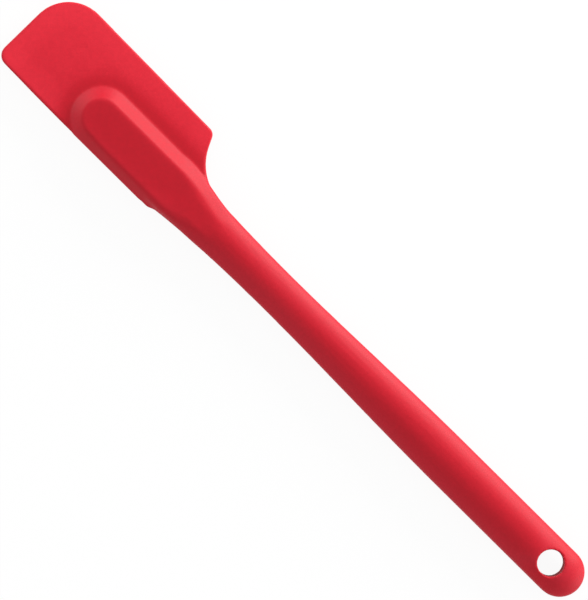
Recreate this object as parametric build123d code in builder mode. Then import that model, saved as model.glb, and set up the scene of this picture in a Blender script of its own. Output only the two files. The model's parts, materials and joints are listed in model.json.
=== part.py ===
import os
from math import cos, radians, sin

from build123d import *

os.makedirs("parts", exist_ok=True)

# Overall length, from the scraping edge to the end of the handle
length = 280.0

# Blade outline: distances are from the tip, reaches are from the handle's axis
wide_reach_tip = 25.75
wide_reach_heel = 24.5
narrow_reach_tip = 10.4
narrow_reach = 10.95
narrow_straight_at = 27.0
tip_lean = 0.7
wide_corner_radius = 15.0
narrow_corner_radius = 4.2
narrow_bow_radius = 500.0
shoulder_at = 74.2
shoulder_radius = 3.0
hollow_at = 80.9
hollow_reach = 10.15
hollow_radius = 19.0
heel_at = 75.9
heel_radius = 3.0
heel_step_at = 79.0
heel_step_reach = 9.5
heel_step_radius = 8.0
blade_root_at = 97.0
blade_root_reach = 8.1

# Blade thickness: heights above the mid-plane on the axis, and how much lower the wide edge is
root_half = 1.4
tip_half = 0.95
wide_edge_drop = 0.25
blade_edge_round = 0.6

# Handle, an oval that narrows to a waist and swells to the grip in three equal steps
handle_start_half = 8.25
waist_half = 7.65
swell_half = 8.35
grip_half = 8.97
swell_step = 37.0
height_share = 0.58
side_turn = 47

# Raised ridge over the core, as high as the grip so that both lie on the table
ridge_tip_at = 30.8
ridge_end_at = 72.0
ridge_foot = 11.6
ridge_foot_half = 0.9
ridge_narrow = 11.1
ridge_crest = 6.8
ridge_half = grip_half * height_share
ridge_crest_round = 2.0
ridge_foot_round = 0.4

# Neck, where the ridge turns into the oval handle in three equal steps
neck_step = 9.65
neck_wide_one = 11.0
neck_wide_two = 9.2
neck_narrow_one = 9.35
neck_narrow_two = 8.72
neck_side_one = 1.5
neck_side_two = 1.9
neck_wide_crest_one = 6.3
neck_wide_crest_two = 4.1
neck_narrow_crest_one = 7.5
neck_narrow_crest_two = 5.6
neck_half_one = 4.98
neck_half_two = 4.92
neck_crest_round_one = 3.3
neck_crest_round_two = 6.0
neck_foot_round_one = 1.1
neck_foot_round_two = 1.7

# Hanging hole
hole_radius = 4.85
hole_from_end = 13.7

# Stiff core: heights are above the mid-plane, distances are from the blade's tip
paddle_tip_at = 34.8
paddle_end_at = 92.0
paddle_reach = 7.6
paddle_half = 2.4
paddle_bevel = 1.0
bar_start_at = 80.0
bar_waist_at = 138.0
bar_waist_reach = 5.2
bar_end_at = 257.0
bar_end_reach = 6.6
bar_half = 2.6
bar_bevel = 1.4
eye_half = 1.8
eye_wall = 1.4
eye_lining = 1.2
eye_bevel = 0.5

# Windows through the paddle that the silicone keys into
window_width = 4.0
window_length = 12.0
window_pitch = 20.0
window_count = 2
windows_at = 58.0

# Places that follow from the sizes
start_x = -length / 2
centre_y = -(wide_reach_tip - ridge_narrow) / 2
centre_z = ridge_half
ridge_centre_at = ridge_tip_at + ridge_foot
neck_one_at = ridge_end_at + neck_step
neck_two_at = neck_one_at + neck_step
handle_start_at = neck_two_at + neck_step
waist_at = handle_start_at + swell_step
swell_at = waist_at + swell_step
grip_at = swell_at + swell_step
end_centre_at = length - grip_half
hole_at = length - hole_from_end
middle = (start_x, centre_y, centre_z)
plan = Plane(origin=middle, x_dir=(1, 0, 0), z_dir=(0, 0, 1))
long_section = Plane(origin=middle, x_dir=(1, 0, 0), z_dir=(0, 1, 0))

# The ridge's bevels run on down to the narrow edge, where they are cut off
bevel_slope = (ridge_half - ridge_foot_half) / (ridge_foot - ridge_crest)
ridge_narrow_half = ridge_foot_half + bevel_slope * (ridge_foot - ridge_narrow)


# Plane square to the handle
def across(distance):
    return Plane(origin=(start_x + distance, centre_y, centre_z), x_dir=(0, 1, 0), z_dir=(1, 0, 0))


# Bevelled cross-section of the ridge, where each side is its foot's reach and height and its
# crest's reach
def ridge_section(distance, wide_side, narrow_side, half, crest_round, foot_round):
    wide, wide_half, wide_crest = wide_side
    narrow, narrow_half, narrow_crest = narrow_side
    with BuildSketch(across(distance)) as section:
        with BuildLine():
            Polyline(
                (wide, -wide_half),
                (wide, wide_half),
                (wide_crest, half),
                (-narrow_crest, half),
                (-narrow, narrow_half),
                (-narrow, -narrow_half),
                (-narrow_crest, -half),
                (wide_crest, -half),
                close=True,
            )
        make_face()
        halfway_up = (narrow_half + half) / 2
        feet = section.vertices().filter_by(lambda v: abs(v.Y) < halfway_up)
        fillet(feet, foot_round)
        crests = section.vertices().filter_by(lambda v: abs(v.Y) > halfway_up)
        fillet(crests, crest_round)
    return section.sketch


# Oval cross-section of the handle: a tight arc at each side and a flat arc above and below
def oval_section(distance, half_width):
    half_height = half_width * height_share
    share = (1 - sin(radians(side_turn))) / cos(radians(side_turn))
    side_radius = (half_height - half_width * share) / (1 - share)
    side_centre = half_width - side_radius
    flat_radius = side_radius + side_centre / cos(radians(side_turn))
    flat_centre = flat_radius - half_height
    with BuildSketch(across(distance)) as section:
        with BuildLine():
            CenterArc((side_centre, 0), side_radius, -side_turn, 2 * side_turn)
            CenterArc((0, -flat_centre), flat_radius, side_turn, 180 - 2 * side_turn)
            CenterArc((-side_centre, 0), side_radius, 180 - side_turn, 2 * side_turn)
            CenterArc((0, flat_centre), flat_radius, 180 + side_turn, 180 - 2 * side_turn)
        make_face()
    return section.sketch


# Rounded end, turned half way round an upright axis through the section's middle
def turned_end(section, distance, turn):
    half_section = split(section, bisect_by=long_section, keep=Keep.TOP)
    upright = Axis(origin=(start_x + distance, centre_y, centre_z), direction=(0, 0, turn))
    with BuildPart() as form:
        revolve(half_section, axis=upright, revolution_arc=180)
    return form.part


# Flat piece of the core, extruded both ways from the mid-plane with its rims bevelled
def flat_piece(outline, half_height, rim_bevel):
    with BuildPart() as piece:
        extrude(outline, amount=half_height, both=True)
        rims = piece.faces().filter_by(Axis.Z).edges()
        chamfer(rims, rim_bevel)
    return piece.part


# Stiff core: a paddle under the ridge, a bar through the handle and an eye round the hole
with BuildSketch(plan) as paddle_outline:
    with Locations(((paddle_tip_at + paddle_end_at) / 2, 0)):
        SlotOverall(paddle_end_at - paddle_tip_at, 2 * paddle_reach)
with BuildSketch(plan) as bar_outline:
    with BuildLine():
        Polyline(
            (bar_start_at, bar_end_reach),
            (bar_waist_at, bar_waist_reach),
            (bar_end_at, bar_end_reach),
            (bar_end_at, -bar_end_reach),
            (bar_waist_at, -bar_waist_reach),
            (bar_start_at, -bar_end_reach),
            close=True,
        )
    make_face()
eye_reach = hole_radius + eye_lining + eye_wall
with BuildSketch(plan) as eye_outline:
    with Locations((hole_at, 0)):
        Circle(eye_reach)
    with Locations(((bar_end_at + hole_at) / 2 - bar_bevel, 0)):
        Rectangle(hole_at - bar_end_at + 2 * bar_bevel, 2 * bar_end_reach)
with BuildPart() as core:
    add(flat_piece(paddle_outline.sketch, paddle_half, paddle_bevel))
    add(flat_piece(bar_outline.sketch, bar_half, bar_bevel))
    add(flat_piece(eye_outline.sketch, eye_half, eye_bevel))
    with BuildSketch(plan):
        with Locations((hole_at, 0)):
            Circle(hole_radius + eye_lining)
    extrude(amount=bar_half, both=True, mode=Mode.SUBTRACT)
    with BuildSketch(plan.offset(-bar_half)):
        with Locations((windows_at, 0)):
            with GridLocations(window_pitch, 0, window_count, 1):
                SlotOverall(window_length, window_width)
    extrude(amount=2 * bar_half, mode=Mode.SUBTRACT)

core.part.label = "core"
export_step(core.part, "parts/core.step")

# Flat of the blade, thinning evenly to the tip and to the wide edge, with its rim rounded
with BuildPart() as blade:
    with BuildSketch(plan):
        with BuildLine():
            FilletPolyline(
                (0, -narrow_reach_tip),
                (tip_lean, wide_reach_tip),
                (shoulder_at, wide_reach_heel),
                (hollow_at, hollow_reach),
                (blade_root_at, blade_root_reach),
                (blade_root_at, -blade_root_reach),
                (heel_step_at, -heel_step_reach),
                (heel_at, -narrow_reach),
                (narrow_straight_at, -narrow_reach),
                radius=[
                    narrow_corner_radius,
                    wide_corner_radius,
                    shoulder_radius,
                    hollow_radius,
                    0,
                    0,
                    heel_step_radius,
                    heel_radius,
                    narrow_bow_radius,
                ],
                close=True,
            )
        make_face()
    extrude(amount=ridge_half)
    lengthwise = Vector(blade_root_at, 0, root_half - tip_half)
    sideways = Vector(0, wide_reach_tip, -wide_edge_drop)
    surface = Plane(
        origin=(start_x, centre_y, centre_z + tip_half), x_dir=lengthwise, z_dir=lengthwise.cross(sideways)
    )
    split(bisect_by=surface, keep=Keep.BOTTOM)
    mirror(about=plan)
    flats = blade.faces().filter_by(lambda f: abs(f.normal_at().Z) > 1 / 2)
    rim = flats.edges().filter_by(lambda e: e.center().X < start_x + blade_root_at - blade_edge_round)
    fillet(rim, blade_edge_round)

# Silicone blade, ridge and handle sleeve, moulded in one round the core
with BuildPart() as skin:
    ridge_side = (ridge_foot, ridge_foot_half, ridge_crest)
    ridge_start = ridge_section(
        ridge_centre_at, ridge_side, ridge_side, ridge_half, ridge_crest_round, ridge_foot_round
    )
    add(turned_end(ridge_start, ridge_centre_at, 1))
    extrude(ridge_start, amount=ridge_end_at - ridge_centre_at)
    split(bisect_by=long_section.offset(-ridge_narrow), keep=Keep.TOP)

    # Neck
    ridge_root = ridge_section(
        ridge_end_at, ridge_side, (ridge_narrow, ridge_narrow_half, ridge_crest), ridge_half,
        ridge_crest_round, ridge_foot_round,
    )
    neck_one = ridge_section(
        neck_one_at, (neck_wide_one, neck_side_one, neck_wide_crest_one),
        (neck_narrow_one, neck_side_one, neck_narrow_crest_one),
        neck_half_one, neck_crest_round_one, neck_foot_round_one,
    )
    neck_two = ridge_section(
        neck_two_at, (neck_wide_two, neck_side_two, neck_wide_crest_two),
        (neck_narrow_two, neck_side_two, neck_narrow_crest_two),
        neck_half_two, neck_crest_round_two, neck_foot_round_two,
    )
    handle_start = oval_section(handle_start_at, handle_start_half)
    loft([ridge_root, neck_one, neck_two, handle_start])

    # Handle with its rounded end, and the blade
    waist = oval_section(waist_at, waist_half)
    swell = oval_section(swell_at, swell_half)
    loft([handle_start, waist, swell, oval_section(grip_at, grip_half)])
    extrude(oval_section(grip_at, grip_half), amount=end_centre_at - grip_at)
    add(turned_end(oval_section(end_centre_at, grip_half), end_centre_at, -1))
    add(blade.part)

    # Hanging hole
    with Locations((start_x + hole_at, centre_y, centre_z)):
        Cylinder(hole_radius, 2 * grip_half, mode=Mode.SUBTRACT)

    # Room for the core
    add(core.part, mode=Mode.SUBTRACT)

skin.part.label = "skin"
export_step(skin.part, "parts/skin.step")
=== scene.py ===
import json
import math

import bmesh
import bpy
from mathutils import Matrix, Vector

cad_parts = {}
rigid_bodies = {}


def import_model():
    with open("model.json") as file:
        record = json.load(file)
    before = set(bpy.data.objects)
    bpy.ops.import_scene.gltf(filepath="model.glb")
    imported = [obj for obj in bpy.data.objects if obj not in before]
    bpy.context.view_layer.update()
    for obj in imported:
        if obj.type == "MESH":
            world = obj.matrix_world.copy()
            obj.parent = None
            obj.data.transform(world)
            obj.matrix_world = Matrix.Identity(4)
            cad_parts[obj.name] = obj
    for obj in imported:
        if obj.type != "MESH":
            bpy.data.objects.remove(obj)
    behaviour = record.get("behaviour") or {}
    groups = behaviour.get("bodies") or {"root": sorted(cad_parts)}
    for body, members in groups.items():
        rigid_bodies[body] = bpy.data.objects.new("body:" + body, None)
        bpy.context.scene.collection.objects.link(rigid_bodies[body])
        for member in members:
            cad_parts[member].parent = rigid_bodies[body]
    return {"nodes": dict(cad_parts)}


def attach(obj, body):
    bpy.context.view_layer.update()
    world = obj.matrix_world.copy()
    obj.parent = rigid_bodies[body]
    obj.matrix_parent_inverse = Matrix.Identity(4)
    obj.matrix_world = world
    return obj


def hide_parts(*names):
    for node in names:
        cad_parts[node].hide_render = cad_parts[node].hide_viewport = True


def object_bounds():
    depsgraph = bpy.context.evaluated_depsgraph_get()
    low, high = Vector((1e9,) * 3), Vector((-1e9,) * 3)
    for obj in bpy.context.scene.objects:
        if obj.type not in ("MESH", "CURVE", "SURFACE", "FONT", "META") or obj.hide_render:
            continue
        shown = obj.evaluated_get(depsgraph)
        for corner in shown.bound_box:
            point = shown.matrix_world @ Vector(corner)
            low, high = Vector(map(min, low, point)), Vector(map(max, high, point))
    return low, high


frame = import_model()
cad_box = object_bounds()

# Stiff core. One flat moulding of natural glass-filled nylon, with bevelled rims, that the
# silicone is moulded round. None of it shows on the finished spatula.
nylon_ior = 1.53
nylon_dark = (0.50, 0.47, 0.40, 1)
nylon_dark_at = 0.3
nylon_light = (0.66, 0.63, 0.56, 1)
nylon_light_at = 0.7
nylon_smoothest = 0.45
nylon_roughest = 0.65
fibre_stretch = (120, 900, 900)
fibre_scale = 2.0
fibre_detail = 4.0
fibre_relief = 0.00005
fibre_relief_strength = 0.3

core = frame["nodes"]["core"]
nylon = bpy.data.materials.new("natural_glass_filled_nylon")
nylon.use_nodes = True
nylon_nodes = nylon.node_tree.nodes
nylon_links = nylon.node_tree.links
nylon_shader = nylon_nodes["Principled BSDF"]
nylon_shader.inputs["IOR"].default_value = nylon_ior

# The glass fibres lie along the flow, so their streaks are long in X
nylon_place = nylon_nodes.new("ShaderNodeTexCoord")
nylon_flow = nylon_nodes.new("ShaderNodeMapping")
nylon_flow.inputs["Scale"].default_value = fibre_stretch
nylon_links.new(nylon_place.outputs["Object"], nylon_flow.inputs["Vector"])
fibre_streaks = nylon_nodes.new("ShaderNodeTexNoise")
fibre_streaks.inputs["Scale"].default_value = fibre_scale
fibre_streaks.inputs["Detail"].default_value = fibre_detail
nylon_links.new(nylon_flow.outputs["Vector"], fibre_streaks.inputs["Vector"])
nylon_colour = nylon_nodes.new("ShaderNodeValToRGB")
nylon_colour.color_ramp.elements[0].position = nylon_dark_at
nylon_colour.color_ramp.elements[0].color = nylon_dark
nylon_colour.color_ramp.elements[1].position = nylon_light_at
nylon_colour.color_ramp.elements[1].color = nylon_light
nylon_links.new(fibre_streaks.outputs["Fac"], nylon_colour.inputs["Fac"])
nylon_links.new(nylon_colour.outputs["Color"], nylon_shader.inputs["Base Color"])
nylon_gloss = nylon_nodes.new("ShaderNodeMapRange")
nylon_gloss.inputs["To Min"].default_value = nylon_smoothest
nylon_gloss.inputs["To Max"].default_value = nylon_roughest
nylon_links.new(fibre_streaks.outputs["Fac"], nylon_gloss.inputs["Value"])
nylon_links.new(nylon_gloss.outputs["Result"], nylon_shader.inputs["Roughness"])
nylon_bump = nylon_nodes.new("ShaderNodeBump")
nylon_bump.inputs["Strength"].default_value = fibre_relief_strength
nylon_bump.inputs["Distance"].default_value = fibre_relief
nylon_links.new(fibre_streaks.outputs["Fac"], nylon_bump.inputs["Height"])
nylon_links.new(nylon_bump.outputs["Normal"], nylon_shader.inputs["Normal"])
core.data.materials.clear()
core.data.materials.append(nylon)

# Silicone skin. Blade, ridge and handle sleeve are one moulding of matte red silicone rubber.
# Its creases and rims are a little rounder than the solid's, as they come out of the mould,
# and the room for the core is left out because nothing shows it.
merge_distance = 0.000002
net_size = 0.00044
soften_factor = 0.5
soften_rounds = 5

skin_node = frame["nodes"]["skin"]
skin = bpy.data.objects.new("silicone_skin", skin_node.data.copy())
bpy.context.scene.collection.objects.link(skin)
bpy.ops.object.select_all(action="DESELECT")
bpy.context.view_layer.objects.active = skin
skin.select_set(True)
bpy.ops.object.mode_set(mode="EDIT")
bpy.ops.mesh.select_all(action="SELECT")
bpy.ops.mesh.remove_doubles(threshold=merge_distance)

# Only the outer shell is kept, which is the one that reaches the handle's end
bpy.ops.mesh.select_all(action="DESELECT")
skin_mesh = bmesh.from_edit_mesh(skin.data)
handle_end = max(skin_mesh.verts, key=lambda v: v.co.x)
handle_end.select = True
skin_mesh.select_flush(True)
bpy.ops.mesh.select_linked()
bpy.ops.mesh.select_all(action="INVERT")
bpy.ops.mesh.delete(type="VERT")
bpy.ops.object.mode_set(mode="OBJECT")
skin_net = skin.modifiers.new("even_net", "REMESH")
skin_net.mode = "VOXEL"
skin_net.voxel_size = net_size
bpy.ops.object.modifier_apply(modifier="even_net")
skin_soften = skin.modifiers.new("moulded_softness", "SMOOTH")
skin_soften.factor = soften_factor
skin_soften.iterations = soften_rounds
bpy.ops.object.modifier_apply(modifier="moulded_softness")

# The ridge's crest on the narrow side is nudged outward, where the moulding is a little fuller.
# The nudge fades out towards both ends of the ridge.
crest_at = -0.0140
crest_spread = 0.0040
crest_nudge = 0.0006
crest_from = -0.100
crest_to = -0.050
crest_fade = 0.010
for point in skin.data.vertices:
    across = max(0.0, 1 - ((point.co.y - crest_at) / crest_spread) ** 2) ** 2
    run_in = min(1.0, max(0.0, (point.co.x - crest_from) / crest_fade))
    run_out = min(1.0, max(0.0, (crest_to - point.co.x) / crest_fade))
    point.co.y -= crest_nudge * across * run_in * run_out
bpy.ops.object.shade_smooth()

silicone_ior = 1.41
silicone_specular = 0.34
silicone_bloom = 0.03
silicone_bloom_spread = 0.35
silicone = bpy.data.materials.new("matte_red_silicone")
silicone.use_nodes = True
silicone_nodes = silicone.node_tree.nodes
silicone_links = silicone.node_tree.links
silicone_shader = silicone_nodes["Principled BSDF"]
silicone_shader.inputs["IOR"].default_value = silicone_ior
silicone_shader.inputs["Specular IOR Level"].default_value = silicone_specular
silicone_shader.inputs["Sheen Weight"].default_value = silicone_bloom
silicone_shader.inputs["Sheen Roughness"].default_value = silicone_bloom_spread
silicone_place = silicone_nodes.new("ShaderNodeTexCoord")

# Painted glow: silicone lets some light through, and this ramp paints that light into the
# colour. It is light where it is thin, at the rims and over the blade, and deep red where it is
# thick.
# The reds between the two go by the share of the full depth.
full_depth = 0.009
depth_samples = 16
thin_glow_red = (0.77, 0.022, 0.043, 1)
thickest_red = (0.455, 0.0017, 0.0123, 1)
glow_reds_between = (
    (0.03, (0.632, 0.0100, 0.0280, 1)),
    (0.06, (0.546, 0.0042, 0.0178, 1)),
    (0.11, (0.523, 0.0038, 0.0163, 1)),
    (0.18, (0.490, 0.0020, 0.0130, 1)),
    # The step at 0.55, where the handle's flanks fall, is a painted highlight: its greener,
    # bluer red whitens the flanks as the soft box's gloss would.
    (0.55, (0.490, 0.0088, 0.0225, 1)),
    (0.72, (0.490, 0.0040, 0.0160, 1)),
)
thickness = silicone_nodes.new("ShaderNodeAmbientOcclusion")
thickness.inside = True
thickness.only_local = True
thickness.samples = depth_samples
thickness.inputs["Distance"].default_value = full_depth
painted_glow_ramp = silicone_nodes.new("ShaderNodeValToRGB")
painted_glow_ramp.color_ramp.elements[0].color = thin_glow_red
painted_glow_ramp.color_ramp.elements[1].color = thickest_red
for share_of_depth, red in glow_reds_between:
    painted_glow_ramp.color_ramp.elements.new(share_of_depth).color = red
silicone_links.new(thickness.outputs["AO"], painted_glow_ramp.inputs["Fac"])

# Painted shade: the red is darkened down in the hole, at its mouth and a little at the ridge's
# foot, where less light gets in.
# Each shade goes by how open the place is, from shut at 0 to quite open at 1.
hollow_reach = 0.008
hollow_samples = 16
hole_painted_shade = (0.60, 0.15, 0.25, 1)
hole_openness = 0.45
mouth_painted_shade = (0.78, 0.60, 0.65, 1)
mouth_openness = 0.80
foot_painted_shade = (0.96, 0.93, 0.94, 1)
foot_openness = 0.90
open_tint = (1, 1, 1, 1)
open_openness = 0.97
hollows = silicone_nodes.new("ShaderNodeAmbientOcclusion")
hollows.only_local = True
hollows.samples = hollow_samples
hollows.inputs["Distance"].default_value = hollow_reach
painted_hollow_shade = silicone_nodes.new("ShaderNodeValToRGB")
painted_hollow_shade.color_ramp.elements[0].position = hole_openness
painted_hollow_shade.color_ramp.elements[0].color = hole_painted_shade
painted_hollow_shade.color_ramp.elements[1].position = open_openness
painted_hollow_shade.color_ramp.elements[1].color = open_tint
painted_hollow_shade.color_ramp.elements.new(mouth_openness).color = mouth_painted_shade
painted_hollow_shade.color_ramp.elements.new(foot_openness).color = foot_painted_shade
silicone_links.new(hollows.outputs["AO"], painted_hollow_shade.inputs["Fac"])
red_with_painted_shade = silicone_nodes.new("ShaderNodeVectorMath")
red_with_painted_shade.operation = "MULTIPLY"
silicone_links.new(painted_glow_ramp.outputs["Color"], red_with_painted_shade.inputs[0])
silicone_links.new(painted_hollow_shade.outputs["Color"], red_with_painted_shade.inputs[1])

# Faint pigment clouds over the whole moulding
pigment_scale = 650.0
pigment_detail = 6.0
pigment_roughness = 0.65
pigment_low = 0.25
pigment_high = 0.75
pigment_darkest = 0.93
pigment_lightest = 1.07
pigment = silicone_nodes.new("ShaderNodeTexNoise")
pigment.inputs["Scale"].default_value = pigment_scale
pigment.inputs["Detail"].default_value = pigment_detail
pigment.inputs["Roughness"].default_value = pigment_roughness
silicone_links.new(silicone_place.outputs["Object"], pigment.inputs["Vector"])
pigment_spread = silicone_nodes.new("ShaderNodeMapRange")
pigment_spread.inputs["From Min"].default_value = pigment_low
pigment_spread.inputs["From Max"].default_value = pigment_high
pigment_spread.inputs["To Min"].default_value = pigment_darkest
pigment_spread.inputs["To Max"].default_value = pigment_lightest
silicone_links.new(pigment.outputs["Fac"], pigment_spread.inputs["Value"])
silicone_colour = silicone_nodes.new("ShaderNodeVectorMath")
silicone_colour.operation = "SCALE"
silicone_links.new(red_with_painted_shade.outputs["Vector"], silicone_colour.inputs[0])
silicone_links.new(pigment_spread.outputs["Result"], silicone_colour.inputs["Scale"])
silicone_links.new(silicone_colour.outputs["Vector"], silicone_shader.inputs["Base Color"])

# Satin finish, a little uneven with the pigment
satin_smoothest = 0.48
satin_roughest = 0.58
silicone_gloss = silicone_nodes.new("ShaderNodeMapRange")
silicone_gloss.inputs["To Min"].default_value = satin_smoothest
silicone_gloss.inputs["To Max"].default_value = satin_roughest
silicone_links.new(pigment.outputs["Fac"], silicone_gloss.inputs["Value"])

# The pin that forms the hole leaves its wall quite dull
dull_openness = 0.60
satin_openness = 0.88
wall_dullness = 0.45
pin_finish = silicone_nodes.new("ShaderNodeMapRange")
pin_finish.inputs["From Min"].default_value = dull_openness
pin_finish.inputs["From Max"].default_value = satin_openness
pin_finish.inputs["To Min"].default_value = wall_dullness
pin_finish.inputs["To Max"].default_value = 0.0
silicone_links.new(hollows.outputs["AO"], pin_finish.inputs["Value"])
dullness = silicone_nodes.new("ShaderNodeMath")
dullness.operation = "ADD"
dullness.use_clamp = True
silicone_links.new(silicone_gloss.outputs["Result"], dullness.inputs[0])
silicone_links.new(pin_finish.outputs["Result"], dullness.inputs[1])
silicone_links.new(dullness.outputs["Value"], silicone_shader.inputs["Roughness"])

# Fine grain left by the bead-blasted mould
grain_scale = 2600.0
grain_detail = 3.0
grain_relief = 0.00004
grain_relief_strength = 0.35
mould_grain = silicone_nodes.new("ShaderNodeTexNoise")
mould_grain.inputs["Scale"].default_value = grain_scale
mould_grain.inputs["Detail"].default_value = grain_detail
silicone_links.new(silicone_place.outputs["Object"], mould_grain.inputs["Vector"])
silicone_bump = silicone_nodes.new("ShaderNodeBump")
silicone_bump.inputs["Strength"].default_value = grain_relief_strength
silicone_bump.inputs["Distance"].default_value = grain_relief
silicone_links.new(mould_grain.outputs["Fac"], silicone_bump.inputs["Height"])
silicone_links.new(silicone_bump.outputs["Normal"], silicone_shader.inputs["Normal"])
skin.data.materials.clear()
skin.data.materials.append(silicone)
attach(skin, "root")
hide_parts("skin")

# Table. A plain white sheet that the spatula lies on, a hair below it. The camera and gloss see
# the sheet close to pure white, with the spatula's shadow faint on it.
sheet_size = 6.0
sheet_gap = 0.00005
sheet_white = (0.93, 0.93, 0.93, 1)
sheet_glow_strength = 1.0
sheet_glow_share = 0.93
bpy.ops.object.select_all(action="DESELECT")
bpy.ops.mesh.primitive_plane_add(size=sheet_size, location=(0, 0, cad_box[0].z - sheet_gap))
table = bpy.context.active_object
table.name = "table"
sheet = bpy.data.materials.new("white_sheet")
sheet.use_nodes = True
sheet_nodes = sheet.node_tree.nodes
sheet_links = sheet.node_tree.links
sheet_shader = sheet_nodes["Principled BSDF"]
sheet_shader.inputs["Base Color"].default_value = sheet_white
sheet_shader.inputs["Roughness"].default_value = 1.0
sheet_shader.inputs["Specular IOR Level"].default_value = 0.0
sheet_glow = sheet_nodes.new("ShaderNodeEmission")
sheet_glow.inputs["Strength"].default_value = sheet_glow_strength
sheet_seen = sheet_nodes.new("ShaderNodeLightPath")
sheet_glossy = sheet_nodes.new("ShaderNodeMath")
sheet_glossy.operation = "MAXIMUM"
sheet_links.new(sheet_seen.outputs["Is Camera Ray"], sheet_glossy.inputs[0])
sheet_links.new(sheet_seen.outputs["Is Glossy Ray"], sheet_glossy.inputs[1])
sheet_clear = sheet_nodes.new("ShaderNodeMath")
sheet_clear.operation = "MAXIMUM"
sheet_links.new(sheet_glossy.outputs["Value"], sheet_clear.inputs[0])
sheet_links.new(sheet_seen.outputs["Is Transmission Ray"], sheet_clear.inputs[1])
sheet_share = sheet_nodes.new("ShaderNodeMath")
sheet_share.operation = "MULTIPLY"
sheet_share.inputs[1].default_value = sheet_glow_share
sheet_links.new(sheet_clear.outputs["Value"], sheet_share.inputs[0])
sheet_mix = sheet_nodes.new("ShaderNodeMixShader")
sheet_links.new(sheet_share.outputs["Value"], sheet_mix.inputs["Fac"])
sheet_links.new(sheet_shader.outputs["BSDF"], sheet_mix.inputs[1])
sheet_links.new(sheet_glow.outputs["Emission"], sheet_mix.inputs[2])
sheet_links.new(sheet_mix.outputs["Shader"], sheet_nodes["Material Output"].inputs["Surface"])
table.data.materials.append(sheet)

# Studio. A low soft box stands on the blade's wide side, with a weaker one past each end of the
# spatula, and the room is an even soft white. Each box has its name, its turn about the table
# and its lift above it in degrees, its height and its power.
box_distance = 1.3
box_width = 1.2
room_white = (1, 1, 1, 1)
room_strength = 0.71
for box_name, box_turn, box_lift, box_height, box_power in (
    ("wide_side", 0, 16, 0.5, 22.0),
    ("blade_end", 90, 8, 0.34, 6.5),
    ("handle_end", -64, 8, 0.34, 7.5),
):
    box_lamp = bpy.data.lights.new("soft_box_" + box_name, "AREA")
    box_lamp.shape = "RECTANGLE"
    box_lamp.size = box_width
    box_lamp.size_y = box_height
    box_lamp.energy = box_power
    soft_box = bpy.data.objects.new("soft_box_" + box_name, box_lamp)
    turn = math.radians(box_turn)
    lift = math.radians(box_lift)
    reach = box_distance * math.cos(lift)
    rise = box_distance * math.sin(lift)
    soft_box.location = (-reach * math.sin(turn), reach * math.cos(turn), rise)
    soft_box.rotation_euler = (lift - math.pi / 2, 0, turn)
    bpy.context.scene.collection.objects.link(soft_box)
room = bpy.data.worlds.new("room")
room.use_nodes = True
room.node_tree.nodes["Background"].inputs["Color"].default_value = room_white
room.node_tree.nodes["Background"].inputs["Strength"].default_value = room_strength
bpy.context.scene.world = room

# Camera. It looks straight down through a long lens from well above the table, and is turned so
# that the spatula lies across the picture from corner to corner.
camera_lens = 213
camera_sensor = 36
camera_place = (-0.0038, -0.0051, 1.2652)
camera_turn = 44.725
camera_data = bpy.data.cameras.new("camera")
camera_data.lens = camera_lens
camera_data.sensor_width = camera_sensor
camera = bpy.data.objects.new("camera", camera_data)
camera.location = camera_place
camera.rotation_euler = (0, 0, math.radians(camera_turn))
bpy.context.scene.collection.objects.link(camera)
bpy.context.scene.camera = camera
bpy.context.scene.view_settings.view_transform = "Standard"
